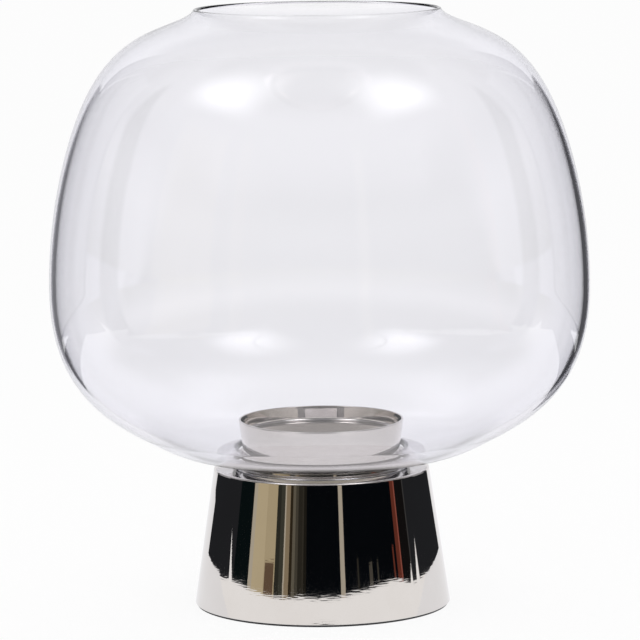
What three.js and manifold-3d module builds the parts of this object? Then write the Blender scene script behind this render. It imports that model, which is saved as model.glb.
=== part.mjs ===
// Footed hurricane candle holder: a blown glass globe stands loose on a polished metal foot,
// round a shallow candle cup that is bolted to the foot's flat top.
// Millimetres, +Z up, origin at the middle of the underside.

import * as THREE from 'three';
import { mergeVertices } from 'three/addons/utils/BufferGeometryUtils.js';
import loadManifold from 'manifold-3d';

// Foot: a straight cone of spun sheet with a flat top
const footBaseDiameter = 121.7;
const footTopDiameter = 102.3;
const footHeight = 65;
const footSheet = 1.2;
const footTopEdgeRound = 1.2;

// Pad and board that close the foot from below
const feltThickness = 1;
const feltSetback = 0.8;
const boardThickness = 4;
const boardClearance = 0.3;

// Candle cup: a drum with a shallow tray in its top
const cupRimDiameter = 79;
const cupTaper = THREE.MathUtils.degToRad(5.5);
const cupHeight = 20.8;
const cupSheet = 0.9;
const trayDepth = 8.3;
const trayWall = 1.1;
const trayFloorRound = 2;
const cupRimRound = 0.45;

// Glass globe, with heights measured up from its seat
const globeDiameter = 256;
const globeWidestHeight = 86.6;
const globeHeight = 218;
const globeMouthDiameter = 117;
const globeWall = 3;
const globeLipWall = 2;
const globeBaseThickness = 3.4;
const globeSeatWidth = 1.7;
const globeHoleRound = 0.5;
const globeCupClearance = 0.8;
const heelWidth = 2.5;
const heelHeight = 3.4;
const heelLean = THREE.MathUtils.degToRad(75);
const floorSlope = THREE.MathUtils.degToRad(9);
const bowlStartDiameter = 176.8;
const bowlStartHeight = 18;
const bowlStartSlope = THREE.MathUtils.degToRad(28.3);
const bellyArcRadius = 239;
const bellyLean = THREE.MathUtils.degToRad(14.3);
const neckSlope = THREE.MathUtils.degToRad(24.2);
const lipFlareRadius = 2.2;

// How far each end's tangent reaches along the globe's curves, as a share of their spans
const heelSeatReach = 0.55;
const heelFloorReach = 0.6;
const floorHeelReach = 0.6;
const floorBowlReach = 0.38;
const bowlFloorReach = 0.671;
const bowlBellyReach = 0.509;
const shoulderBellyReach = 0.86;
const shoulderNeckReach = 0.348;

// Fastening under the cup
const studDiameter = 6;
const studHeadDiameter = 18;
const studHeadThickness = 2;
const studTail = 4;
const studChamfer = 0.8;
const studClearance = 0.3;
const clampWasherDiameter = 30;
const clampWasherThickness = 1.6;
const lockWasherDiameter = 11.8;
const lockWasherThickness = 1.6;
const lockWasherSlit = 1.4;
const nutWidth = 10;
const nutThickness = 5;
const nutFaceShare = 0.95;
const nutChamferAngle = THREE.MathUtils.degToRad(30);

// Pieces that rest on each other stay this far apart
const restGap = 0.02;

// Facets round the large and the small turned pieces, and along curves
const largeFacets = 48;
const smallFacets = 24;
const heelSteps = 4;
const floorSteps = 8;
const bowlSteps = 10;
const bellySteps = 5;
const shoulderSteps = 10;
const roundSteps = 3;

// Levels of the stack, from the table up
const footBottom = feltThickness + restGap;
const footTop = footBottom + footHeight;
const footCeiling = footTop - footSheet;
const cupBottom = footTop + restGap;
const globeSeat = footTop + restGap;
const clampWasherBottom = footCeiling - restGap - clampWasherThickness;
const lockWasherBottom = clampWasherBottom - restGap - lockWasherThickness;
const nutBottom = lockWasherBottom - restGap - nutThickness;

const polishedNickel = { color: 0xd8d3ca, roughness: 0.06, metalness: 1 };
const zincSteel = { color: 0xa2a5a8, roughness: 0.35, metalness: 1 };
const clearGlass = { color: 0xeef1f2, roughness: 0.02, metalness: 0, transparent: true, opacity: 0.3 };
const fibreboard = { color: 0x7d5f42, roughness: 0.85, metalness: 0 };
const darkFelt = { color: 0x26262a, roughness: 0.95, metalness: 0 };

const wasm = await loadManifold();
wasm.setup();

function vec(radius, height) {
  return new THREE.Vector2(radius, height);
}

// Points of a true arc that rounds one corner of an outline
function roundedCorner(before, corner, after, radius) {
  const toBefore = before.clone().sub(corner).normalize();
  const toAfter = after.clone().sub(corner).normalize();
  const halfAngle = toBefore.angleTo(toAfter) / 2;
  const reach = radius / Math.tan(halfAngle);
  const bisector = toBefore.clone().add(toAfter).normalize();
  const centre = corner.clone().addScaledVector(bisector, radius / Math.sin(halfAngle));
  const start = corner.clone().addScaledVector(toBefore, reach).sub(centre);
  const end = corner.clone().addScaledVector(toAfter, reach).sub(centre);
  const sweep = Math.atan2(start.cross(end), start.dot(end));
  const points = [];
  for (let step = 0; step <= roundSteps; step++) {
    const spoke = start.clone().rotateAround(vec(0, 0), (sweep * step) / roundSteps);
    points.push(spoke.add(centre));
  }
  return points;
}

// A closed outline from corners, each [radius, height] with an optional rounding
function roundedLoop(corners) {
  const points = [];
  corners.forEach(([radius, height, rounding], index) => {
    const corner = vec(radius, height);
    if (!rounding) {
      points.push(corner);
      return;
    }
    const before = vec(...corners[(index + corners.length - 1) % corners.length].slice(0, 2));
    const after = vec(...corners[(index + 1) % corners.length].slice(0, 2));
    points.push(...roundedCorner(before, corner, after, rounding));
  });
  return points;
}

// A solid of revolution about Z from an outline that runs up the outside
function turned(points, facets) {
  const geometry = new THREE.LatheGeometry(points, facets);
  geometry.rotateX(Math.PI / 2);
  return geometry;
}

function closed(points) {
  return [...points, points[0].clone()];
}

function piece(name, geometry, finish, height) {
  const mesh = new THREE.Mesh(geometry, new THREE.MeshStandardMaterial(finish));
  mesh.name = name;
  mesh.position.z = height;
  return mesh;
}

function toSolid(geometry) {
  const bare = geometry.clone();
  bare.deleteAttribute('normal');
  bare.deleteAttribute('uv');
  const merged = mergeVertices(bare);
  const mesh = new wasm.Mesh({
    numProp: 3,
    vertProperties: new Float32Array(merged.attributes.position.array),
    triVerts: new Uint32Array(merged.index.array),
  });
  return new wasm.Manifold(mesh);
}

function toGeometry(solid) {
  const mesh = solid.getMesh();
  const geometry = new THREE.BufferGeometry();
  geometry.setAttribute('position', new THREE.BufferAttribute(mesh.vertProperties, mesh.numProp));
  geometry.setIndex(new THREE.BufferAttribute(mesh.triVerts, 1));
  geometry.computeVertexNormals();
  return geometry;
}

// Outer radius of the foot's cone at a height above the foot's own bottom edge
function footRadiusAt(height) {
  const share = height / footHeight;
  return THREE.MathUtils.lerp(footBaseDiameter / 2, footTopDiameter / 2, share);
}

// Radial width of the foot's slanted wall
const footSlope = Math.atan2((footBaseDiameter - footTopDiameter) / 2, footHeight);
const footWallWidth = footSheet / Math.cos(footSlope);

// The hole that lets the stud through the foot, both washers and the nut
const boltHoleRadius = studDiameter / 2 + studClearance;

function makeFootShell() {
  const ceiling = footHeight - footSheet;
  const outline = roundedLoop([
    [footRadiusAt(0), 0],
    [footRadiusAt(footHeight), footHeight, footTopEdgeRound],
    [boltHoleRadius, footHeight],
    [boltHoleRadius, ceiling],
    [footRadiusAt(ceiling) - footWallWidth, ceiling, footTopEdgeRound / 2],
    [footRadiusAt(0) - footWallWidth, 0],
  ]);
  return piece('foot_shell', turned(closed(outline), largeFacets), polishedNickel, footBottom);
}

// The board's rim is bevelled to the slant of the foot's inner wall
function makeBaseDisc() {
  const rimGap = footWallWidth + boardClearance;
  const outline = [
    vec(0, 0),
    vec(footRadiusAt(0) - rimGap, 0),
    vec(footRadiusAt(boardThickness) - rimGap, boardThickness),
    vec(0, boardThickness),
  ];
  return piece('base_disc', turned(outline, largeFacets), fibreboard, footBottom);
}

function makeBaseFelt() {
  const radius = footBaseDiameter / 2 - feltSetback;
  const outline = [vec(0, 0), vec(radius, 0), vec(radius, feltThickness), vec(0, feltThickness)];
  return piece('base_felt', turned(outline, largeFacets), darkFelt, 0);
}

// Outer radius of the cup's wall, which tapers in from the rim, at a height above its bottom edge
function cupRadiusAt(height) {
  return cupRimDiameter / 2 - (cupHeight - height) * Math.tan(cupTaper);
}

const trayFloor = cupHeight - trayDepth;
const trayUnderside = trayFloor - cupSheet;

function makeCandleCup() {
  const wall = roundedLoop([
    [0, trayUnderside],
    [cupRadiusAt(trayUnderside) - cupSheet, trayUnderside],
    [cupRadiusAt(0) - cupSheet, 0],
    [cupRadiusAt(0), 0],
    [cupRadiusAt(cupHeight), cupHeight, cupRimRound],
    [cupRadiusAt(cupHeight) - trayWall, cupHeight, cupRimRound],
    [cupRadiusAt(trayFloor) - trayWall, trayFloor, trayFloorRound],
    [0, trayFloor],
  ]);
  return piece('candle_cup', turned(wall, largeFacets), polishedNickel, cupBottom);
}

function makeCupStud() {
  const headTop = cupBottom + trayUnderside - restGap;
  const tailBottom = nutBottom - studTail;
  const length = headTop - tailBottom;
  const radius = studDiameter / 2;
  const headRadius = studHeadDiameter / 2;
  const headBottom = length - studHeadThickness;
  const outline = [
    vec(0, 0),
    vec(radius - studChamfer, 0),
    vec(radius, studChamfer),
    vec(radius, headBottom),
    vec(headRadius, headBottom),
    vec(headRadius, length),
    vec(0, length),
  ];
  return piece('cup_stud', turned(outline, smallFacets), zincSteel, tailBottom);
}

function makeClampWasher() {
  const outline = roundedLoop([
    [boltHoleRadius, 0],
    [clampWasherDiameter / 2, 0],
    [clampWasherDiameter / 2, clampWasherThickness],
    [boltHoleRadius, clampWasherThickness],
  ]);
  return piece('clamp_washer', turned(closed(outline), smallFacets), zincSteel, clampWasherBottom);
}

// A split ring: its slit is the gap left between the ends of the two arcs
function makeLockWasher() {
  const outerRadius = lockWasherDiameter / 2;
  const outerEnd = Math.asin(lockWasherSlit / 2 / outerRadius);
  const innerEnd = Math.asin(lockWasherSlit / 2 / boltHoleRadius);
  const ring = new THREE.Shape();
  ring.absarc(0, 0, outerRadius, outerEnd, 2 * Math.PI - outerEnd, false);
  ring.absarc(0, 0, boltHoleRadius, 2 * Math.PI - innerEnd, innerEnd, true);
  ring.closePath();
  const geometry = new THREE.ExtrudeGeometry(ring, {
    depth: lockWasherThickness,
    bevelEnabled: false,
    curveSegments: smallFacets / 2,
  });
  return piece('lock_washer', geometry, zincSteel, lockWasherBottom);
}

// A hexagonal prism whose corners are turned off to a chamfer at both faces
function makeHexNut() {
  const cornerRadius = nutWidth / 2 / Math.cos(Math.PI / 6);
  const hexagon = new THREE.Shape();
  for (let corner = 0; corner < 6; corner++) {
    const angle = (corner * Math.PI) / 3;
    const place = vec(cornerRadius * Math.cos(angle), cornerRadius * Math.sin(angle));
    if (corner === 0) hexagon.moveTo(place.x, place.y);
    else hexagon.lineTo(place.x, place.y);
  }
  hexagon.closePath();
  const bore = new THREE.Path();
  bore.absarc(0, 0, boltHoleRadius, 0, 2 * Math.PI, false);
  hexagon.holes.push(bore);
  const prism = new THREE.ExtrudeGeometry(hexagon, {
    depth: nutThickness,
    bevelEnabled: false,
    curveSegments: smallFacets / 2,
  });
  const faceRadius = (nutWidth / 2) * nutFaceShare;
  const chamferHeight = (cornerRadius - faceRadius) * Math.tan(nutChamferAngle);
  const turnedBlank = turned(
    [
      vec(0, 0),
      vec(faceRadius, 0),
      vec(cornerRadius, chamferHeight),
      vec(cornerRadius, nutThickness - chamferHeight),
      vec(faceRadius, nutThickness),
      vec(0, nutThickness),
    ],
    smallFacets,
  );
  const nut = toSolid(prism).intersect(toSolid(turnedBlank));
  return piece('hex_nut', toGeometry(nut), zincSteel, nutBottom);
}

const globeHoleRadius = cupRimDiameter / 2 + globeCupClearance;
const globeSeatRadius = globeHoleRadius + globeSeatWidth;

// A point on the straight line through a place at a slope, by its distance along the radius
function sloped(place, run, slope) {
  return vec(place.x + run, place.y + run * Math.tan(slope));
}

// The globe's outside from its seat to its lip: heel, floor, bowl, belly arc, shoulder and
// flared lip. Only the heel, a solid ring under the floor, has no inside of its own.
function globeOutside() {
  const seat = vec(globeSeatRadius, 0);
  const heelTop = vec(globeSeatRadius + heelWidth, heelHeight);
  const bowlStart = vec(bowlStartDiameter / 2, bowlStartHeight);
  const widest = vec(globeDiameter / 2, globeWidestHeight);
  const lipTop = globeHeight - globeLipWall / 2;
  const neck = vec(
    globeMouthDiameter / 2 + lipFlareRadius * (1 - Math.sin(neckSlope)),
    lipTop - lipFlareRadius * Math.cos(neckSlope),
  );
  const flank = vec(
    widest.x - bellyArcRadius * (1 - Math.cos(bellyLean)),
    widest.y + bellyArcRadius * Math.sin(bellyLean),
  );
  const heelReach = heelHeight * heelSeatReach;
  const floorRun = bowlStart.x - heelTop.x;
  const bowlReach = (widest.x - bowlStart.x) * bowlFloorReach;
  const bellyReach = (widest.y - bowlStart.y) * bowlBellyReach;
  const flankReach = (neck.y - flank.y) * shoulderBellyReach;
  const neckReach = (flank.x - neck.x) * shoulderNeckReach;
  const heel = new THREE.CubicBezierCurve(
    seat,
    vec(seat.x + heelReach * Math.cos(heelLean), heelReach * Math.sin(heelLean)),
    sloped(heelTop, -heelWidth * heelFloorReach, floorSlope),
    heelTop,
  );
  const floor = new THREE.CubicBezierCurve(
    heelTop,
    sloped(heelTop, floorRun * floorHeelReach, floorSlope),
    sloped(bowlStart, -floorRun * floorBowlReach, bowlStartSlope),
    bowlStart,
  );
  const bowl = new THREE.CubicBezierCurve(
    bowlStart,
    sloped(bowlStart, bowlReach, bowlStartSlope),
    vec(widest.x, widest.y - bellyReach),
    widest,
  );
  const belly = new THREE.EllipseCurve(
    widest.x - bellyArcRadius, widest.y, bellyArcRadius, bellyArcRadius, 0, bellyLean, false,
  );
  const shoulder = new THREE.CubicBezierCurve(
    flank,
    vec(flank.x - flankReach * Math.tan(bellyLean), flank.y + flankReach),
    sloped(neck, neckReach, -neckSlope),
    neck,
  );
  const lip = new THREE.EllipseCurve(
    neck.x + lipFlareRadius * Math.sin(neckSlope),
    neck.y + lipFlareRadius * Math.cos(neckSlope),
    lipFlareRadius, lipFlareRadius, 1.5 * Math.PI - neckSlope, Math.PI, true,
  );
  return [
    { curve: heel, steps: heelSteps },
    { curve: floor, steps: floorSteps, wallFrom: globeBaseThickness, wallTo: globeBaseThickness },
    { curve: bowl, steps: bowlSteps, wallFrom: globeBaseThickness, wallTo: globeWall },
    { curve: belly, steps: bellySteps, wallFrom: globeWall, wallTo: globeWall },
    { curve: shoulder, steps: shoulderSteps, wallFrom: globeWall, wallTo: globeLipWall },
    { curve: lip, steps: roundSteps, wallFrom: globeLipWall, wallTo: globeLipWall },
  ];
}

// The inside follows the outside at the wall's thickness, which grows from the lip to the floor
function makeGlassGlobe() {
  const sections = globeOutside();
  const outside = [sections[0].curve.getPoint(0)];
  const inside = [];
  sections.forEach(({ curve, steps, wallFrom, wallTo }) => {
    const firstInside = inside.length === 0 ? 0 : 1;
    for (let step = 0; step <= steps; step++) {
      const along = step / steps;
      const place = curve.getPoint(along);
      if (step > 0) outside.push(place);
      if (!wallFrom || step < firstInside) continue;
      const wall = THREE.MathUtils.lerp(wallFrom, wallTo, THREE.MathUtils.smoothstep(along, 0, 1));
      const tangent = curve.getTangent(along);
      const inward = vec(-tangent.y, tangent.x);
      inside.push(place.clone().addScaledVector(inward, wall));
    }
  });
  const rimRadius = globeLipWall / 2;
  const rimCentre = globeMouthDiameter / 2 - rimRadius;
  const rimLevel = globeHeight - rimRadius;
  const rim = new THREE.EllipseCurve(rimCentre, rimLevel, rimRadius, rimRadius, 0, Math.PI, false);
  const rimPoints = rim.getPoints(2 * roundSteps).slice(1, -1);
  const bottomInside = inside[0];
  const holeTop = sloped(bottomInside, globeHoleRadius - bottomInside.x, floorSlope);
  const holeBottom = vec(globeHoleRadius, 0);
  const hole = [
    ...roundedCorner(bottomInside, holeTop, holeBottom, globeHoleRound),
    ...roundedCorner(holeTop, holeBottom, outside[0], globeHoleRound),
  ];
  const outline = [...outside, ...rimPoints, ...inside.reverse(), ...hole];
  return piece('glass_globe', turned(closed(outline), largeFacets), clearGlass, globeSeat);
}

const foot = new THREE.Group();
foot.add(makeFootShell(), makeBaseDisc(), makeBaseFelt());

const cup = new THREE.Group();
cup.add(makeCandleCup(), makeCupStud(), makeClampWasher(), makeLockWasher(), makeHexNut());

const candleHolder = new THREE.Group();
candleHolder.add(foot, cup, makeGlassGlobe());

export default candleHolder;
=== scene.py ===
"""Footed hurricane candle holder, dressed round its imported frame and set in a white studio."""

import math

import bpy
from mathutils import Matrix, Vector


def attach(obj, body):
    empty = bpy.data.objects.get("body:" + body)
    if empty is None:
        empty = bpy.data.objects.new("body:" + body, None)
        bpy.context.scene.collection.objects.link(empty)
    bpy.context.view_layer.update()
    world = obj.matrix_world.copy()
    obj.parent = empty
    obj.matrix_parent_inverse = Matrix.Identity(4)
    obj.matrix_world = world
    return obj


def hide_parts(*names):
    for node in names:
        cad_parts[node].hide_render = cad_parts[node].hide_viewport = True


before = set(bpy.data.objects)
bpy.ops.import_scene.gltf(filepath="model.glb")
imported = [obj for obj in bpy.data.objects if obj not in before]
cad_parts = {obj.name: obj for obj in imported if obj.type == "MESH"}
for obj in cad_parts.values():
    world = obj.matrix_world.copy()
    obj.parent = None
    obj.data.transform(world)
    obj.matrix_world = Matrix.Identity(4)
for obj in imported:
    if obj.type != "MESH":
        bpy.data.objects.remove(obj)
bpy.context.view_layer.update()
scene = bpy.context.scene
scene.view_settings.view_transform = "Standard"

MM = 0.001

# Fineness of the turned meshes: steps, and lengths in millimetres
SEGMENTS = 288
ROUND_STEPS = 8
STRAIGHT_SPACING = 3.0
AXIS_RADIUS = 1e-6
HEEL_STEPS = 16
FLOOR_STEPS = 50
BOWL_STEPS = 70
BELLY_STEPS = 30
SHOULDER_STEPS = 90
LIP_STEPS = 24
RIM_STEPS = 16

# The source's own dimensions in millimetres, needed to turn the same profiles finely
FOOT_BOTTOM = 1.02
FOOT_HEIGHT = 65.0
FOOT_BASE_RADIUS = 60.85
FOOT_TOP_RADIUS = 51.15
FOOT_SHEET = 1.2
STUD_HOLE_RADIUS = 3.3

FELT_RADIUS = 60.05
FELT_THICKNESS = 1.0

SEAT_LEVEL = 66.04
CUP_RIM_RADIUS = 39.5
CUP_TAPER = math.radians(5.5)
CUP_HEIGHT = 20.8
CUP_SHEET = 0.9
TRAY_DEPTH = 8.3
TRAY_WALL = 1.1
TRAY_FLOOR_ROUND = 2.0

GLOBE_RADIUS = 128.0
GLOBE_WIDEST = 86.6
GLOBE_HEIGHT = 218.0
GLOBE_MOUTH_RADIUS = 58.5
GLOBE_WALL = 3.0
GLOBE_LIP_WALL = 2.0
GLOBE_BASE_THICKNESS = 3.4
GLOBE_HOLE_RADIUS = 40.3
GLOBE_SEAT_RADIUS = 42.0
FLOOR_SLOPE = math.radians(9)
BOWL_START_RADIUS = 88.4
BOWL_START_HEIGHT = 18.0
BOWL_SLOPE = math.radians(28.3)
BELLY_RADIUS = 239.0
BELLY_LEAN = math.radians(14.3)
NECK_SLOPE = math.radians(24.2)
LIP_FLARE = 2.2
HEEL_FLOOR_REACH = 0.6
FLOOR_HEEL_REACH = 0.6
FLOOR_BOWL_REACH = 0.38
BOWL_FLOOR_REACH = 0.671
BOWL_BELLY_REACH = 0.509
SHOULDER_BELLY_REACH = 0.86
SHOULDER_NECK_REACH = 0.348

# Small roundings of the finely turned pieces
FOOT_TOP_ROUND = 1.2
FOOT_EDGE_ROUND = 0.25
FELT_ROUND = 0.3
CUP_RIM_ROUND = 0.45
CUP_EDGE_ROUND = 0.2
GLOBE_HOLE_ROUND = 0.5

# The heel is straighter and the lip turns up more gently than in the source, whose own turns
# trap light in the glass. The lip takes the place of the shoulder's last steps
HEEL_RADIUS = 42.6
HEEL_HEIGHT = 3.1
HEEL_LEAN = math.radians(88)
HEEL_SEAT_REACH = 0.75
SHOULDER_STEPS_CUT = 12
LIP_SLOPE = math.radians(70)
LIP_SHOULDER_REACH = 0.55
LIP_RIM_REACH = 0.15


# Profiles: lists of (point, outward normal) in (radius, height), with the solid on the left


def outward(tangent):
    return Vector((tangent.y, -tangent.x)).normalized()


def sloped(angle):
    """One step outwards along a slope."""
    return Vector((1, math.tan(angle)))


def turned_by(vector, angle):
    cosine, sine = math.cos(angle), math.sin(angle)
    return Vector((vector.x * cosine - vector.y * sine, vector.x * sine + vector.y * cosine))


def straight(start, end):
    """Inner points of a straight run, so that no face is very long."""
    run = end - start
    count = int(run.length // STRAIGHT_SPACING)
    normal = outward(run)
    return [(start + run * (step / (count + 1)), normal) for step in range(1, count + 1)]


def rounded(before, corner, after, radius):
    """The arc that rounds one corner of an outline."""
    arriving = (corner - before).normalized()
    leaving = (after - corner).normalized()
    sweep = math.atan2(arriving.x * leaving.y - arriving.y * leaving.x, arriving.dot(leaving))
    reach = radius * math.tan(abs(sweep) / 2)
    side = math.copysign(1.0, sweep)
    start = corner - arriving * reach
    centre = start - outward(arriving) * radius * side
    run = []
    for step in range(ROUND_STEPS + 1):
        normal = turned_by(outward(arriving), sweep * step / ROUND_STEPS)
        run.append((centre + normal * radius * side, normal))
    return run


def outline(corners, closed):
    """A profile from (radius, height, rounding) corners. An open one has its ends on the axis."""
    places = [Vector(corner[:2]) for corner in corners]
    runs = []
    for index, (place, corner) in enumerate(zip(places, corners)):
        before = places[index - 1]
        after = places[(index + 1) % len(places)]
        if not closed and index == 0:
            runs.append([(place, outward(after - place))])
        elif not closed and index == len(places) - 1:
            runs.append([(place, outward(place - before))])
        else:
            runs.append(rounded(before, place, after, corner[2]))
    profile = []
    for index, run in enumerate(runs):
        profile += run
        if index + 1 < len(runs) or closed:
            following = runs[(index + 1) % len(runs)]
            profile += straight(run[-1][0], following[0][0])
    return profile


def bezier(start, lead, follow, end, steps):
    """Places and tangents along a cubic curve."""
    run = []
    for step in range(steps + 1):
        along = step / steps
        back = 1 - along
        place = (
            start * back**3
            + lead * (3 * back * back * along)
            + follow * (3 * back * along * along)
            + end * along**3
        )
        tangent = (
            (lead - start) * (back * back)
            + (follow - lead) * (2 * back * along)
            + (end - follow) * (along * along)
        )
        run.append((place, tangent.normalized()))
    return run


def arc(centre, radius, start, sweep, steps):
    """Places and tangents along an arc, from an angle through a sweep."""
    run = []
    for step in range(steps + 1):
        angle = start + sweep * step / steps
        spoke = Vector((math.cos(angle), math.sin(angle)))
        tangent = turned_by(spoke, math.copysign(math.pi / 2, sweep))
        run.append((centre + spoke * radius, tangent))
    return run


def smooth(share):
    return share * share * (3 - 2 * share)


def globe_below():
    """The globe's outside from its seat to its widest place: heel, floor and bowl."""
    seat = Vector((GLOBE_SEAT_RADIUS, 0))
    heel_top = Vector((HEEL_RADIUS, HEEL_HEIGHT))
    floor_edge = Vector((BOWL_START_RADIUS, BOWL_START_HEIGHT))
    widest = Vector((GLOBE_RADIUS, GLOBE_WIDEST))
    heel_rise = heel_top.y * HEEL_SEAT_REACH
    heel_run = (heel_top.x - seat.x) * HEEL_FLOOR_REACH
    floor_run = floor_edge.x - heel_top.x
    bowl_run = (widest.x - floor_edge.x) * BOWL_FLOOR_REACH
    bowl_rise = (widest.y - floor_edge.y) * BOWL_BELLY_REACH
    heel = bezier(
        seat,
        seat + heel_rise * Vector((math.cos(HEEL_LEAN), math.sin(HEEL_LEAN))),
        heel_top - heel_run * sloped(FLOOR_SLOPE),
        heel_top,
        HEEL_STEPS,
    )
    floor = bezier(
        heel_top,
        heel_top + floor_run * FLOOR_HEEL_REACH * sloped(FLOOR_SLOPE),
        floor_edge - floor_run * FLOOR_BOWL_REACH * sloped(BOWL_SLOPE),
        floor_edge,
        FLOOR_STEPS,
    )
    bowl = bezier(
        floor_edge,
        floor_edge + bowl_run * sloped(BOWL_SLOPE),
        widest - Vector((0, bowl_rise)),
        widest,
        BOWL_STEPS,
    )
    return heel, floor, bowl


def globe_above():
    """The globe's outside from its widest place up: belly, shoulder, lip and the rim's bead."""
    widest = Vector((GLOBE_RADIUS, GLOBE_WIDEST))
    rim_radius = GLOBE_LIP_WALL / 2
    rim_level = GLOBE_HEIGHT - rim_radius
    flank = Vector((
        widest.x - BELLY_RADIUS * (1 - math.cos(BELLY_LEAN)),
        widest.y + BELLY_RADIUS * math.sin(BELLY_LEAN),
    ))
    neck = Vector((
        GLOBE_MOUTH_RADIUS + LIP_FLARE * (1 - math.sin(NECK_SLOPE)),
        rim_level - LIP_FLARE * math.cos(NECK_SLOPE),
    ))
    flank_rise = (neck.y - flank.y) * SHOULDER_BELLY_REACH
    neck_run = (flank.x - neck.x) * SHOULDER_NECK_REACH
    belly = arc(widest - Vector((BELLY_RADIUS, 0)), BELLY_RADIUS, 0, BELLY_LEAN, BELLY_STEPS)
    shoulder = bezier(
        flank,
        flank + flank_rise * Vector((-math.tan(BELLY_LEAN), 1)),
        neck + neck_run * sloped(-NECK_SLOPE),
        neck,
        SHOULDER_STEPS,
    )[:-SHOULDER_STEPS_CUT]
    turning, heading = shoulder[-1]
    rim_centre = Vector((GLOBE_MOUTH_RADIUS - rim_radius, rim_level))
    lip_end = rim_centre + rim_radius * Vector((math.sin(LIP_SLOPE), math.cos(LIP_SLOPE)))
    lip_run = (lip_end - turning).length
    lip = bezier(
        turning,
        turning + lip_run * LIP_SHOULDER_REACH * heading,
        lip_end + lip_run * LIP_RIM_REACH * Vector((math.cos(LIP_SLOPE), -math.sin(LIP_SLOPE))),
        lip_end,
        LIP_STEPS,
    )
    bead = arc(rim_centre, rim_radius, math.pi / 2 - LIP_SLOPE, math.pi, RIM_STEPS)
    return belly, shoulder, lip, bead


def globe_profile():
    """The globe's closed profile: outside from seat to lip, rim, inside, and the hole's edge."""
    heel, floor, bowl = globe_below()
    belly, shoulder, lip, bead = globe_above()
    sections = [
        (floor, GLOBE_BASE_THICKNESS, GLOBE_BASE_THICKNESS),
        (bowl, GLOBE_BASE_THICKNESS, GLOBE_WALL),
        (belly, GLOBE_WALL, GLOBE_WALL),
        (shoulder, GLOBE_WALL, GLOBE_LIP_WALL),
        (lip, GLOBE_LIP_WALL, GLOBE_LIP_WALL),
    ]
    outside = [(place, outward(tangent)) for place, tangent in heel[:-1]]
    inside = []
    for number, (run, wall_from, wall_to) in enumerate(sections):
        for step, (place, tangent) in enumerate(run):
            if number and not step:
                continue
            wall = wall_from + (wall_to - wall_from) * smooth(step / (len(run) - 1))
            normal = outward(tangent)
            outside.append((place, normal))
            inside.append((place - normal * wall, -normal))
    rim = [(place, outward(tangent)) for place, tangent in bead]
    inside.reverse()
    low_inside = inside[-1][0]
    hole_top = Vector((
        GLOBE_HOLE_RADIUS,
        low_inside.y - (low_inside.x - GLOBE_HOLE_RADIUS) * math.tan(FLOOR_SLOPE),
    ))
    hole_bottom = Vector((GLOBE_HOLE_RADIUS, 0))
    seat = outside[0][0]
    hole = rounded(low_inside, hole_top, hole_bottom, GLOBE_HOLE_ROUND)
    hole += rounded(hole_top, hole_bottom, seat, GLOBE_HOLE_ROUND)
    return outside + rim[1:-1] + inside + hole


def turn(name, profile, level, closed):
    """A smooth mesh of revolution about Z that keeps its profile's own normals."""
    vertices, normals, rings = [], [], []
    for place, normal in profile:
        height = (place.y + level) * MM
        if place.x < AXIS_RADIUS:
            rings.append([len(vertices)] * SEGMENTS)
            vertices.append((0, 0, height))
            normals.append((0, 0, math.copysign(1.0, normal.y)))
            continue
        rings.append(list(range(len(vertices), len(vertices) + SEGMENTS)))
        for segment in range(SEGMENTS):
            angle = 2 * math.pi * segment / SEGMENTS
            cosine, sine = math.cos(angle), math.sin(angle)
            vertices.append((place.x * MM * cosine, place.x * MM * sine, height))
            normals.append((normal.x * cosine, normal.x * sine, normal.y))
    faces = []
    for index in range(len(rings) if closed else len(rings) - 1):
        lower, upper = rings[index], rings[(index + 1) % len(rings)]
        for segment in range(SEGMENTS):
            following = (segment + 1) % SEGMENTS
            corners = [lower[segment], lower[following], upper[following], upper[segment]]
            faces.append(list(dict.fromkeys(corners)))
    mesh = bpy.data.meshes.new(name)
    mesh.from_pydata(vertices, [], faces)
    mesh.shade_smooth()
    mesh.normals_split_custom_set_from_vertices(normals)
    made = bpy.data.objects.new(name, mesh)
    scene.collection.objects.link(made)
    return made


# Node helpers


def add(tree, kind, **settings):
    made = tree.nodes.new(kind)
    for key, value in settings.items():
        setattr(made, key, value)
    return made


def feed(tree, source, target):
    """Links a socket to an input, or sets the input to a plain value."""
    if isinstance(source, bpy.types.NodeSocket):
        tree.links.new(source, target)
    else:
        target.default_value = source


def feed_colour(tree, source, target):
    """Links a socket to a colour input, or sets the input to a red, green and blue."""
    feed(tree, source if isinstance(source, bpy.types.NodeSocket) else (*source, 1), target)


def math_node(tree, operation, *values):
    made = add(tree, "ShaderNodeMath", operation=operation)
    for value, target in zip(values, made.inputs):
        feed(tree, value, target)
    return made.outputs[0]


def mapped(tree, value, from_low, from_high, to_low, to_high, kind="LINEAR"):
    made = add(tree, "ShaderNodeMapRange", interpolation_type=kind)
    for source, target in zip((value, from_low, from_high, to_low, to_high), made.inputs):
        feed(tree, source, target)
    return made.outputs[0]


def fade(tree, value, start, end, first=0.0, last=1.0):
    """Goes softly from its first to its last level while the value goes from start to end."""
    return mapped(tree, value, start, end, first, last, "SMOOTHSTEP")


def noise(tree, vector, scale=1.0, detail=2.0, roughness=0.5):
    made = add(tree, "ShaderNodeTexNoise")
    feed(tree, vector, made.inputs["Vector"])
    made.inputs["Scale"].default_value = scale
    made.inputs["Detail"].default_value = detail
    made.inputs["Roughness"].default_value = roughness
    return made.outputs["Fac"]


def stretched(tree, vector, x, y, z):
    made = add(tree, "ShaderNodeMapping")
    feed(tree, vector, made.inputs["Vector"])
    made.inputs["Scale"].default_value = (x, y, z)
    return made.outputs["Vector"]


def split(tree, vector):
    """The three axes of a vector."""
    made = add(tree, "ShaderNodeSeparateXYZ")
    feed(tree, vector, made.inputs[0])
    return made.outputs


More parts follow.
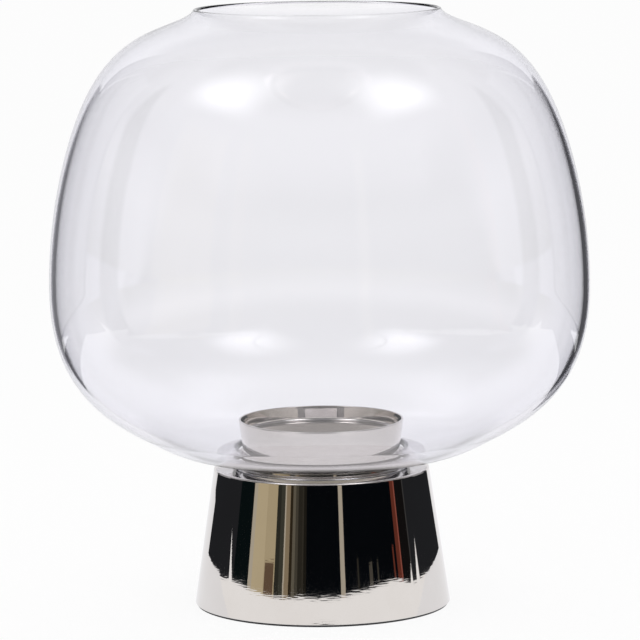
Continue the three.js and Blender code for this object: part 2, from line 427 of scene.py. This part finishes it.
def object_place(tree):
    return add(tree, "ShaderNodeTexCoord").outputs["Object"]


def world_place(tree):
    return add(tree, "ShaderNodeNewGeometry").outputs["Position"]


def ramp(tree, value, stops, stepped=False):
    made = add(tree, "ShaderNodeValToRGB")
    if stepped:
        made.color_ramp.interpolation = "CONSTANT"
    feed(tree, value, made.inputs["Fac"])
    elements = made.color_ramp.elements
    while len(elements) > 1:
        elements.remove(elements[-1])
    elements[0].position, elements[0].color = stops[0][0], (*stops[0][1], 1)
    for position, colour in stops[1:]:
        elements.new(position).color = (*colour, 1)
    return made.outputs["Color"]


def blended(tree, factor, first, second):
    made = add(tree, "ShaderNodeMix", data_type="RGBA")
    feed(tree, factor, made.inputs["Factor"])
    feed_colour(tree, first, made.inputs["A"])
    feed_colour(tree, second, made.inputs["B"])
    return made.outputs["Result"]


def bump(tree, height, distance, normal=None):
    made = add(tree, "ShaderNodeBump")
    made.inputs["Strength"].default_value = 1.0
    made.inputs["Distance"].default_value = distance
    feed(tree, height, made.inputs["Height"])
    if normal is not None:
        feed(tree, normal, made.inputs["Normal"])
    return made.outputs["Normal"]


def glowing(tree, colour):
    made = add(tree, "ShaderNodeEmission")
    feed_colour(tree, colour, made.inputs["Color"])
    return made.outputs[0]


def mixed(tree, share, first, second):
    """One shader where the share is 0, the other where it is 1."""
    made = add(tree, "ShaderNodeMixShader")
    for source, target in zip((share, first, second), made.inputs):
        feed(tree, source, target)
    return made.outputs[0]


def surface(tree, shader):
    """Puts a shader on the material's surface."""
    made = add(tree, "ShaderNodeOutputMaterial")
    feed(tree, shader, made.inputs["Surface"])
    return made


def empty_material(name):
    made = bpy.data.materials.new(name)
    made.use_nodes = True
    made.node_tree.nodes.clear()
    return made, made.node_tree


def object_material(name):
    made, tree = empty_material(name)
    shader = add(tree, "ShaderNodeBsdfPrincipled")
    output = surface(tree, shader.outputs[0])
    return made, tree, shader, output


# Materials of the object


def nickel_material():
    """Mirror nickel plate with faint lathe lines, polish haze and a trace of waviness."""
    made, tree, shader, _ = object_material("polished_nickel")
    place = object_place(tree)
    haze = noise(tree, place, scale=38.0, detail=4.0, roughness=0.6)
    feed(tree, ramp(tree, haze, [
        (0.25, (0.70, 0.665, 0.64)),
        (0.75, (0.74, 0.71, 0.69)),
    ]), shader.inputs["Base Color"])
    feed(tree, mapped(tree, haze, 0.3, 0.8, 0.018, 0.03), shader.inputs["Roughness"])
    shader.inputs["Metallic"].default_value = 1.0
    across, back, height = split(tree, place)
    square = math_node(tree, "MULTIPLY", across, across)
    radius = math_node(tree, "SQRT", math_node(tree, "MULTIPLY_ADD", back, back, square))
    lathe = add(tree, "ShaderNodeCombineXYZ")
    feed(tree, radius, lathe.inputs[0])
    feed(tree, height, lathe.inputs[1])
    lines = noise(tree, lathe.outputs[0], scale=1400.0, detail=0.0)
    strokes = noise(tree, stretched(tree, place, 260, 260, 1500), detail=0.0)
    waves = noise(tree, place, scale=22.0, detail=1.0)
    wavy = bump(tree, waves, distance=2.0e-5)
    lined = bump(tree, lines, distance=4.0e-7, normal=wavy)
    feed(tree, bump(tree, strokes, distance=1.8e-6, normal=lined), shader.inputs["Normal"])
    return made


def glass_material():
    """Clear soda glass with the slow unevenness of blown work."""
    made, tree, shader, output = object_material("clear_glass")
    shader.inputs["Base Color"].default_value = (1, 1, 1, 1)
    shader.inputs["Roughness"].default_value = 0.0
    shader.inputs["IOR"].default_value = 1.5
    shader.inputs["Transmission Weight"].default_value = 1.0
    drawn = noise(tree, stretched(tree, object_place(tree), 14, 14, 9))
    feed(tree, bump(tree, drawn, distance=6.0e-5), shader.inputs["Normal"])
    body = add(tree, "ShaderNodeVolumeAbsorption")
    body.inputs["Color"].default_value = (0.28, 0.22, 0.72, 1)
    body.inputs["Density"].default_value = 14.0
    feed(tree, body.outputs[0], output.inputs["Volume"])
    return made


def felt_material():
    """Pressed dark felt: fine fibres over slow patches."""
    made, tree, shader, _ = object_material("dark_felt")
    place = object_place(tree)
    fibres = noise(tree, place, scale=2600.0, detail=6.0, roughness=0.7)
    patches = noise(tree, place, scale=90.0, detail=3.0)
    blend = math_node(tree, "MULTIPLY_ADD", patches, 0.4, fibres)
    feed(tree, ramp(tree, blend, [
        (0.45, (0.012, 0.012, 0.014)),
        (0.95, (0.06, 0.06, 0.068)),
    ]), shader.inputs["Base Color"])
    shader.inputs["Roughness"].default_value = 0.95
    shader.inputs["Sheen Weight"].default_value = 0.35
    feed(tree, bump(tree, fibres, distance=2.0e-4), shader.inputs["Normal"])
    return made


def zinc_material():
    """Satin zinc plate with a faint bluish cloud and fine scratches."""
    made, tree, shader, _ = object_material("zinc_steel")
    place = object_place(tree)
    cloud = noise(tree, place, scale=160.0, detail=4.0, roughness=0.6)
    scratches = noise(tree, stretched(tree, place, 300, 4000, 1200), detail=3.0)
    feed(tree, ramp(tree, cloud, [
        (0.3, (0.55, 0.56, 0.58)),
        (0.7, (0.66, 0.67, 0.67)),
    ]), shader.inputs["Base Color"])
    shader.inputs["Metallic"].default_value = 1.0
    feed(tree, mapped(tree, cloud, 0.2, 0.8, 0.28, 0.42), shader.inputs["Roughness"])
    feed(tree, bump(tree, scratches, distance=1.5e-5), shader.inputs["Normal"])
    return made


def board_material():
    """Raw fibreboard: pressed brown fibres, lighter and darker flecks."""
    made, tree, shader, _ = object_material("fibreboard")
    place = stretched(tree, object_place(tree), 900, 1400, 2600)
    flecks = noise(tree, place, detail=5.0, roughness=0.65)
    feed(tree, ramp(tree, flecks, [
        (0.3, (0.20, 0.125, 0.07)),
        (0.55, (0.26, 0.17, 0.10)),
        (0.75, (0.36, 0.26, 0.17)),
    ]), shader.inputs["Base Color"])
    shader.inputs["Roughness"].default_value = 0.88
    feed(tree, bump(tree, flecks, distance=1.0e-4), shader.inputs["Normal"])
    return made


NICKEL = nickel_material()
GLASS = glass_material()
FELT = felt_material()
ZINC = zinc_material()
BOARD = board_material()


# Pieces


def dress(made, material, body, node):
    made.data.materials.append(material)
    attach(made, body)
    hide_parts(node)


def foot_radius(height):
    return FOOT_BASE_RADIUS + (FOOT_TOP_RADIUS - FOOT_BASE_RADIUS) * height / FOOT_HEIGHT


def make_foot():
    lean = math.atan2(FOOT_BASE_RADIUS - FOOT_TOP_RADIUS, FOOT_HEIGHT)
    wall = FOOT_SHEET / math.cos(lean)
    ceiling = FOOT_HEIGHT - FOOT_SHEET
    profile = outline([
        (foot_radius(0), 0, FOOT_EDGE_ROUND),
        (foot_radius(FOOT_HEIGHT), FOOT_HEIGHT, FOOT_TOP_ROUND),
        (STUD_HOLE_RADIUS, FOOT_HEIGHT, FOOT_EDGE_ROUND),
        (STUD_HOLE_RADIUS, ceiling, FOOT_EDGE_ROUND),
        (foot_radius(ceiling) - wall, ceiling, FOOT_TOP_ROUND / 2),
        (foot_radius(0) - wall, 0, FOOT_EDGE_ROUND),
    ], closed=True)
    made = turn("foot", profile, FOOT_BOTTOM, closed=True)
    dress(made, NICKEL, "base", "foot_shell")


def cup_radius(height):
    return CUP_RIM_RADIUS - (CUP_HEIGHT - height) * math.tan(CUP_TAPER)


def make_cup():
    floor = CUP_HEIGHT - TRAY_DEPTH
    underside = floor - CUP_SHEET
    profile = outline([
        (0, underside, 0),
        (cup_radius(underside) - CUP_SHEET, underside, CUP_EDGE_ROUND),
        (cup_radius(0) - CUP_SHEET, 0, CUP_EDGE_ROUND),
        (cup_radius(0), 0, CUP_EDGE_ROUND),
        (cup_radius(CUP_HEIGHT), CUP_HEIGHT, CUP_RIM_ROUND),
        (cup_radius(CUP_HEIGHT) - TRAY_WALL, CUP_HEIGHT, CUP_RIM_ROUND),
        (cup_radius(floor) - TRAY_WALL, floor, TRAY_FLOOR_ROUND),
        (0, floor, 0),
    ], closed=False)
    made = turn("cup", profile, SEAT_LEVEL, closed=False)
    dress(made, NICKEL, "base", "candle_cup")


def make_globe():
    made = turn("globe", globe_profile(), SEAT_LEVEL, closed=True)
    made.visible_shadow = False
    dress(made, GLASS, "globe", "glass_globe")


def make_felt():
    profile = outline([
        (0, 0, 0),
        (FELT_RADIUS, 0, FELT_ROUND),
        (FELT_RADIUS, FELT_THICKNESS, FELT_ROUND),
        (0, FELT_THICKNESS, 0),
    ], closed=False)
    made = turn("felt_pad", profile, 0, closed=False)
    dress(made, FELT, "base", "base_felt")


def refinish(node, material):
    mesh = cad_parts[node].data
    mesh.materials.clear()
    mesh.materials.append(material)


make_foot()
make_cup()
make_globe()
make_felt()
for name in ("cup_stud", "clamp_washer", "lock_washer", "hex_nut"):
    refinish(name, ZINC)
refinish("base_disc", BOARD)


# Studio: a white table in white surroundings, softboxes, and a room that only reflections show.
# Lengths are metres and azimuths degrees, and the camera's lens and sensor are millimetres

CAMERA_PLACE = Vector((0, -1.9634, 0.40075))
CAMERA_TARGET = Vector((0, 0, 0.13602))
CAMERA_LENS = 234.8
CAMERA_SENSOR = 36.0
CAMERA_ROLL = math.radians(-0.58)

SOFTBOX_TARGET = Vector((0, 0, 0.15))
SOFTBOX_ELEVATION = math.radians(59)
SOFTBOX_DISTANCE = 1.18
SOFTBOX_WIDTH = 0.88
SOFTBOX_HEIGHT = 0.8
SOFTBOX_POWER = 7.4
# Shares of a softbox's height where it fades in from below, and out upwards
SOFTBOX_FOOT = (0.0, 0.35)
SOFTBOX_HEAD = (0.3, 1.0)

FLOOR_REACH = 12.0
LIP_REACH = 0.62
# The lip's lower edge as a share of its height, and how fast it falls towards the sides
LIP_FOOT = 0.76
LIP_FOOT_FALL = 1.4
CLOTH_REACH = 0.52
CLOTH_ANGLE = 80
CLOTH_LIFT = 0.0005
CLOTH_OVERHANG = 0.004
SHEET_REACH = LIP_REACH + 0.005
POST_REACH = CLOTH_REACH - 0.002
# On the table and the cloth the room's stripes stand this much closer together
NEAR_SPREAD = 1.05

# Where one look of the table gives way to the next, by the distance from the middle
UNDER_GLOBE = (0.12, 0.17)
TABLE_FAR = (0.22, 0.42)
TABLE_END = (0.62, 0.66)
# The same by the distance towards the camera
TABLE_FRONT = (-0.1, 0.1)
TABLE_AHEAD = (0.05, 0.25)
# The same for the backdrop and the front, by a direction's share towards the camera
BACKDROP_END = (-0.75, -0.45)

WHITE = (1, 1, 1)
AMBIENT = (0.85, 0.85, 0.85)
MATTE = (0.9, 0.9, 0.9)
TABLE_GLOW = 0.9
PAPER = (1.0, 0.992, 0.985)
SIDE_PAPER = (0.94, 0.945, 0.965)
DIM_PAPER = (0.10, 0.10, 0.10)
DARK = (0.002, 0.0028, 0.004)
DRAPE = (0.017, 0.018, 0.0205)
HAZY = (0.003, 0.006, 0.0065)
SEAM = (0.03, 0.022, 0.012)
CREAM = (0.48, 0.43, 0.34)
BEIGE = (0.53, 0.445, 0.285)
FAWN = (0.47, 0.39, 0.245)
MAUVE = (0.135, 0.088, 0.055)
SLATE = (0.042, 0.042, 0.032)
TAN = (0.27, 0.213, 0.137)
UMBER = (0.129, 0.116, 0.087)
PALE = (0.449, 0.404, 0.325)
RUST = (0.13, 0.032, 0.020)
COPPER = (0.29, 0.085, 0.06)
DUSK = (0.007, 0.006, 0.006)
SPARK = (0.05, 0.05, 0.05)
BACKDROP = (0.88, 0.88, 0.90)


def dimmed(colour, share):
    return tuple(channel * share for channel in colour)


# What stands round the room, from each azimuth on: 0 is the camera's side, 90 the right
ROOM = [
    (-180, BACKDROP),
    (-150, DRAPE),
    (-93, HAZY),
    (-75, CREAM),
    (-71.6, SEAM),
    (-70.4, BEIGE),
    (-58.4, FAWN),
    (-47.5, dimmed(SLATE, 0.7)),
    (-43, dimmed(SLATE, 1.2)),
    (-39.2, CREAM),
    (-37, TAN),
    (-32.8, SEAM),
    (-30.9, UMBER),
    (-27, dimmed(UMBER, 0.5)),
    (-24, dimmed(UMBER, 0.2)),
    (-21, dimmed(UMBER, 0.28)),
    (-18.5, dimmed(UMBER, 0.11)),
    (-16, DARK),
    (16, PALE),
    (20.4, DARK),
    (74.8, RUST),
    (79, COPPER),
    (81.3, DUSK),
    (92, SPARK),
    (94, DRAPE),
    (150, BACKDROP),
]
# The room gives way to its ceiling between these sines of the elevation
ROOM_TOP = (0.46, 0.66)
CEILING = (0.18, 0.18, 0.19)

# Upper edge of the table's curled paper, by azimuth
PAPER_LIP = [
    (-108, 0.0),
    (-94, 0.017),
    (-80, 0.031),
    (-66, 0.041),
    (-54, 0.049),
    (-41, 0.056),
    (-20, 0.065),
    (0, 0.0675),
    (26, 0.065),
    (36, 0.062),
    (51, 0.056),
    (64, 0.048),
    (73, 0.040),
    (89, 0.020),
    (101, 0.008),
    (109, 0.0),
]

# Small things that stand round the table's edge: colour and reach from the middle, then corners
# as azimuth and height
FIXTURES = [
    ("mauve_box", MAUVE, POST_REACH, [
        (-53.7, 0.043), (-44.9, 0.047), (-44.9, 0.0665), (-53.7, 0.061),
    ]),
    ("left_sheet", PAPER, SHEET_REACH, [
        (-94, 0.012), (-90, 0.020), (-93.5, 0.030), (-97.2, 0.044),
    ]),
    ("right_sheet", PAPER, SHEET_REACH, [(94, 0.012), (99, 0.008), (98.5, 0.036)]),
    ("right_slip", PAPER, SHEET_REACH, [(86, 0.022), (89.5, 0.018), (89, 0.032)]),
    ("first_post", dimmed(PALE, 0.06), POST_REACH, [
        (31.3, 0.056), (32.9, 0.056), (32.9, 0.074), (31.3, 0.074),
    ]),
    ("second_post", dimmed(PALE, 0.15), POST_REACH, [
        (42.6, 0.052), (45.8, 0.051), (45.8, 0.066), (42.6, 0.066),
    ]),
    ("third_post", dimmed(PALE, 0.09), POST_REACH, [
        (50.4, 0.050), (52.0, 0.049), (52.0, 0.063), (50.4, 0.063),
    ]),
    ("red_post", RUST, POST_REACH, [
        (67.9, 0.040), (69.5, 0.039), (69.5, 0.059), (67.9, 0.059),
    ]),
]

# What rays see that leave the glass after a reflection: the backdrop behind and, in front, by
# the sine of the elevation, a bright band low down under a dim room and a lighter ceiling
FRONT = [
    (0.0, (0.30, 0.29, 0.20)),
    (0.08, (0.52, 0.51, 0.46)),
    (0.14, (0.75, 0.74, 0.70)),
    (0.21, (1.0, 0.98, 0.94)),
    (0.30, (0.75, 0.74, 0.71)),
    (0.42, (0.24, 0.23, 0.21)),
    (0.64, (0.16, 0.155, 0.15)),
    (0.77, (0.26, 0.26, 0.255)),
    (0.86, (0.30, 0.30, 0.30)),
    (1.0, (0.55, 0.55, 0.55)),
]
FRONT_FLOOR = (0.07, 0.065, 0.055)
# Painted shade: where reflections see the table right under the globe through the glass, it is
# mid-grey instead of white paper
SHADED_NEAR_FLOOR = (0.5, 0.495, 0.49)

# Plans of the grey cards beside and behind the object: across, back and upper edge. The edge
# cards draw the glass's outline, the flags go on from them, and dark skirts stand below
CARD_FOOT = 0.06
LOW_CARD_FOOT = 0.02
FLAG_START = (0.29, 0.265, 0.32)
FLAG_PLAN = [FLAG_START, (0.45, 0.28, 0.6), (0.90, 0.36, 0.9)]
FLAG_COLOUR = (0.35, 0.35, 0.36)
EDGE_PLAN_LEFT = [(0.18, 0.145, 0.285), FLAG_START]
EDGE_PLAN_RIGHT = [(0.168, 0.136, 0.285), FLAG_START]
EDGE_LEFT = (0.20, 0.20, 0.21)
EDGE_RIGHT = (0.09, 0.09, 0.095)
SKIRT_LEFT = [
    (0.222, 0.203, CARD_FOOT),
    (0.339, 0.197, CARD_FOOT),
    (0.711, 0.222, CARD_FOOT),
    (1.20, 0.26, CARD_FOOT),
]
SKIRT_RIGHT = [
    (0.16, 0.19, CARD_FOOT),
    (0.42, 0.185, CARD_FOOT),
    (1.07, 0.24, CARD_FOOT),
]


# Materials of the studio


def room_colour(tree, vector, spread=1.0):
    """The room's colour by azimuth alone, then the vector's share towards the camera and up."""
    across, back, height = split(tree, vector)
    toward = math_node(tree, "MULTIPLY", back, -1.0)
    azimuth = math_node(tree, "ARCTAN2", across, toward)
    share = mapped(tree, azimuth, -math.pi / spread, math.pi / spread, 0.0, 1.0)
    stops = [((start + 180) / 360, colour) for start, colour in ROOM]
    return ramp(tree, share, stops, stepped=True), toward, height


def ray_kinds(tree):
    """Whether a ray was mirrored before, whether it last came through glass, and whether it did
    that or comes straight from the camera."""
    path = add(tree, "ShaderNodeLightPath")
    mirrored = math_node(tree, "GREATER_THAN", path.outputs["Glossy Depth"], 0.5)
    through = path.outputs["Is Transmission Ray"]
    seen = math_node(tree, "MAXIMUM", path.outputs["Is Camera Ray"], through)
    return mirrored, through, seen


def floor_material():
    """White table that keeps a shadow. In reflections it ends, and the room's stripes go on. Right
    under the globe, where reflections see it through the glass, it carries painted shade.
    """
    made, tree = empty_material("white_table")
    place = world_place(tree)
    length = add(tree, "ShaderNodeVectorMath", operation="LENGTH")
    feed(tree, place, length.inputs[0])
    reach = length.outputs["Value"]
    stripes, toward, _ = room_colour(tree, place, NEAR_SPREAD)
    far = fade(tree, reach, *TABLE_FAR)
    ahead = math_node(tree, "MULTIPLY", far, fade(tree, toward, *TABLE_AHEAD))
    paper = blended(tree, ahead, SIDE_PAPER, DIM_PAPER)
    table = blended(tree, fade(tree, reach, *TABLE_END), paper, stripes)
    # Painted shade under the globe, for rays that were mirrored and then came through the glass
    shaded_under_globe = blended(tree, fade(tree, reach, *UNDER_GLOBE), SHADED_NEAR_FLOOR, PAPER)
    around = blended(tree, fade(tree, toward, *TABLE_FRONT), BACKDROP, FRONT_FLOOR)
    veiled = blended(tree, far, shaded_under_globe, around)
    mirrored, through, seen = ray_kinds(tree)
    reflected = blended(tree, through, table, veiled)
    glow = glowing(tree, blended(tree, mirrored, WHITE, reflected))
    matte = add(tree, "ShaderNodeBsdfDiffuse")
    feed_colour(tree, MATTE, matte.inputs["Color"])
    share = math_node(tree, "MAXIMUM", math_node(tree, "MULTIPLY", seen, TABLE_GLOW), mirrored)
    surface(tree, mixed(tree, share, matte.outputs[0], glow))
    return made


def glow_material(name, colour):
    made, tree = empty_material(name)
    surface(tree, glowing(tree, colour))
    return made


def cloth_material():
    """Carries the room's colours on, so that the cloth hides the lip without showing itself."""
    made, tree = empty_material("room_cloth")
    surface(tree, glowing(tree, room_colour(tree, world_place(tree), NEAR_SPREAD)[0]))
    return made


def card_material(name, colour):
    """Shows only after a reflection, in the metal or inside the glass, and else lets rays pass."""
    made, tree = empty_material(name)
    mirrored = ray_kinds(tree)[0]
    clear = add(tree, "ShaderNodeBsdfTransparent").outputs[0]
    surface(tree, mixed(tree, mirrored, clear, glowing(tree, colour)))
    return made


# Things of the studio


def make_world():
    world = bpy.data.worlds.new("studio")
    scene.world = world
    world.use_nodes = True
    tree = world.node_tree
    tree.nodes.clear()
    direction = add(tree, "ShaderNodeTexCoord").outputs["Generated"]
    stripes, toward, height = room_colour(tree, direction)
    room = blended(tree, fade(tree, height, *ROOM_TOP), stripes, CEILING)
    mirrored, through, seen = ray_kinds(tree)
    plain = blended(tree, seen, AMBIENT, WHITE)
    front = fade(tree, toward, *BACKDROP_END)
    veil = blended(tree, front, BACKDROP, ramp(tree, height, FRONT))
    reflected = blended(tree, through, room, veil)
    background = add(tree, "ShaderNodeBackground")
    feed(tree, blended(tree, mirrored, plain, reflected), background.inputs["Color"])
    feed(tree, background.outputs[0], add(tree, "ShaderNodeOutputWorld").inputs["Surface"])


def plain_mesh(name, vertices, faces, material):
    mesh = bpy.data.meshes.new(name)
    mesh.from_pydata(vertices, [], faces)
    mesh.materials.append(material)
    made = bpy.data.objects.new(name, mesh)
    scene.collection.objects.link(made)
    return made


def only_in_reflections(made):
    made.visible_camera = False
    made.visible_diffuse = False
    made.visible_transmission = False
    made.visible_shadow = False


def make_band(name, edges, material):
    """A strip between two lines, given as pairs of places, that shows only in reflections."""
    vertices = [place for pair in edges for place in pair]
    starts = range(0, len(vertices) - 2, 2)
    faces = [(start, start + 2, start + 3, start + 1) for start in starts]
    made = plain_mesh(name, vertices, faces, material)
    only_in_reflections(made)
    return made


def make_floor():
    corners = [
        (-FLOOR_REACH, -FLOOR_REACH, 0),
        (FLOOR_REACH, -FLOOR_REACH, 0),
        (FLOOR_REACH, FLOOR_REACH, 0),
        (-FLOOR_REACH, FLOOR_REACH, 0),
    ]
    plain_mesh("floor", corners, [(0, 1, 2, 3)], floor_material())


def edge_place(azimuth, reach, height):
    turned = math.radians(azimuth)
    return (reach * math.sin(turned), -reach * math.cos(turned), height)


def lip_height(azimuth):
    for (start, low), (end, high) in zip(PAPER_LIP, PAPER_LIP[1:]):
        if azimuth <= end:
            return low + (high - low) * (azimuth - start) / (end - start)
    return 0.0


def make_paper_lip():
    """The table paper's edge, which curls up round its front and shows only in the foot."""
    edges = []
    for azimuth in range(PAPER_LIP[0][0], PAPER_LIP[-1][0] + 1):
        top = lip_height(azimuth)
        foot = max(0.0, top * LIP_FOOT * math.cos(math.radians(azimuth) * LIP_FOOT_FALL))
        edges.append((edge_place(azimuth, LIP_REACH, foot), edge_place(azimuth, LIP_REACH, top)))
    make_band("paper_lip", edges, glow_material("lit_paper", PAPER))


def make_cloth():
    """Lies over the paper's lip and keeps it out of the globe's reflections."""
    edges = []
    for azimuth in range(-CLOTH_ANGLE, CLOTH_ANGLE + 1):
        top = lip_height(azimuth) + CLOTH_LIFT
        edges.append((
            edge_place(azimuth, CLOTH_REACH, top),
            edge_place(azimuth, LIP_REACH + CLOTH_OVERHANG, top),
        ))
    make_band("cloth", edges, cloth_material())


def make_fixtures():
    for name, colour, reach, corners in FIXTURES:
        vertices = [edge_place(azimuth, reach, height) for azimuth, height in corners]
        face = tuple(range(len(corners)))
        only_in_reflections(plain_mesh(name, vertices, [face], glow_material(name, colour)))


def make_card(name, plan, side, bottom, colour, mirrored=True, through=True):
    """An upright card on a plan, for rays that were just mirrored or just left the glass."""
    edges = [
        ((side * across, back, bottom), (side * across, back, top)) for across, back, top in plan
    ]
    card = make_band(name, edges, card_material(name, colour))
    card.visible_glossy = mirrored
    card.visible_transmission = through


def soften(lamp):
    """Lets a softbox fade out towards its sides and, more slowly, upwards."""
    lamp.use_nodes = True
    tree = lamp.node_tree
    tree.nodes.clear()
    across, up, _ = split(tree, add(tree, "ShaderNodeNewGeometry").outputs["Parametric"])
    half = 0.5
    offset = math_node(tree, "ABSOLUTE", math_node(tree, "SUBTRACT", across, half))
    sides = fade(tree, offset, 0.0, half, first=1.0, last=0.0)
    foot = fade(tree, up, *SOFTBOX_FOOT)
    head = fade(tree, up, *SOFTBOX_HEAD, first=1.0, last=0.0)
    strength = math_node(tree, "MULTIPLY", sides, math_node(tree, "MULTIPLY", foot, head))
    glow = add(tree, "ShaderNodeEmission")
    feed(tree, strength, glow.inputs["Strength"])
    feed(tree, glow.outputs[0], add(tree, "ShaderNodeOutputLight").inputs["Surface"])


def make_softbox(name, azimuth):
    heading = math.radians(azimuth)
    back = Vector((
        math.sin(heading) * math.cos(SOFTBOX_ELEVATION),
        -math.cos(heading) * math.cos(SOFTBOX_ELEVATION),
        math.sin(SOFTBOX_ELEVATION),
    ))
    lamp = bpy.data.lights.new(name, "AREA")
    lamp.shape = "RECTANGLE"
    lamp.size = SOFTBOX_WIDTH
    lamp.size_y = SOFTBOX_HEIGHT
    lamp.energy = SOFTBOX_POWER
    soften(lamp)
    made = bpy.data.objects.new(name, lamp)
    made.location = SOFTBOX_TARGET + back * SOFTBOX_DISTANCE
    made.rotation_euler = back.to_track_quat("Z", "Y").to_euler()
    made.visible_camera = False
    scene.collection.objects.link(made)


def make_camera():
    lens = bpy.data.cameras.new("camera")
    lens.lens = CAMERA_LENS
    lens.sensor_width = CAMERA_SENSOR
    made = bpy.data.objects.new("camera", lens)
    made.location = CAMERA_PLACE
    aim = (CAMERA_TARGET - CAMERA_PLACE).to_track_quat("-Z", "Y").to_matrix()
    made.rotation_euler = (aim @ Matrix.Rotation(CAMERA_ROLL, 3, "Z")).to_euler()
    scene.collection.objects.link(made)
    scene.camera = made


make_world()
make_floor()
make_paper_lip()
make_cloth()
make_fixtures()
for end, side, plan, edge, skirt, azimuth in (
    ("left", -1, EDGE_PLAN_LEFT, EDGE_LEFT, SKIRT_LEFT, -60),
    ("right", 1, EDGE_PLAN_RIGHT, EDGE_RIGHT, SKIRT_RIGHT, 52),
):
    low_plan = [(across, back, CARD_FOOT) for across, back, _ in plan]
    make_card("flag_" + end, FLAG_PLAN, side, CARD_FOOT, FLAG_COLOUR)
    make_card("skirt_" + end, skirt, side, 0.0, DRAPE, through=False)
    make_card("edge_card_" + end, plan, side, CARD_FOOT, edge)
    make_card("low_edge_card_" + end, low_plan, side, LOW_CARD_FOOT, edge, mirrored=False)
    make_softbox("softbox_" + end, azimuth)
make_camera()
